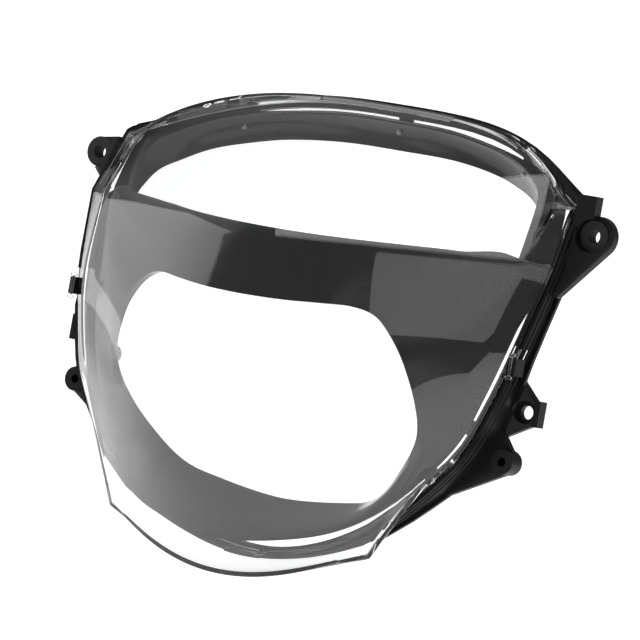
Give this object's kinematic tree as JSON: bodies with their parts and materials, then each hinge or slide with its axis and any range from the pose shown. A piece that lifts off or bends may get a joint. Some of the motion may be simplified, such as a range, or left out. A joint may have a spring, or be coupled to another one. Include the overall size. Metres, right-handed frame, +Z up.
{
  "type": "motorcycle headlamp front lens unit",
  "caption": "Clear prow-shaped headlamp lens on a black carrier frame, with a gloss bezel around a main window and a crescent window, hood trim, sealing bead, screws and grommets.",
  "frame": {"origin": "midway between the two upper lug holes, in the middle of the lugs' thickness", "axes": "+X to the right seen from the front, +Y to the rear, +Z up; the front of the lens faces -Y"},
  "size_m": [0.2907, 0.1336, 0.2278],
  "materials": {
    "clear_lens": "clear gloss",
    "sealant": "matte",
    "gloss_black": "gloss",
    "frame_black": "satin",
    "zinc_screw": "zinc plated",
    "grommet_rubber": "matte"
  },
  "bodies": {
    "root": {"outer_lens": "clear_lens", "sealing_bead": "sealant", "inner_bezel": "gloss_black", "upper_hood": "gloss_black", "rear_frame": "frame_black", "bezel_screw_1": "zinc_screw", "bezel_screw_2": "zinc_screw", "bezel_screw_3": "zinc_screw", "bezel_screw_4": "zinc_screw", "bezel_screw_5": "zinc_screw", "bezel_screw_6": "zinc_screw", "hood_screw_1": "zinc_screw", "hood_screw_2": "zinc_screw", "hood_screw_3": "zinc_screw", "upper_grommet_left": "grommet_rubber", "upper_grommet_right": "grommet_rubber"}
  },
  "joints": []
}
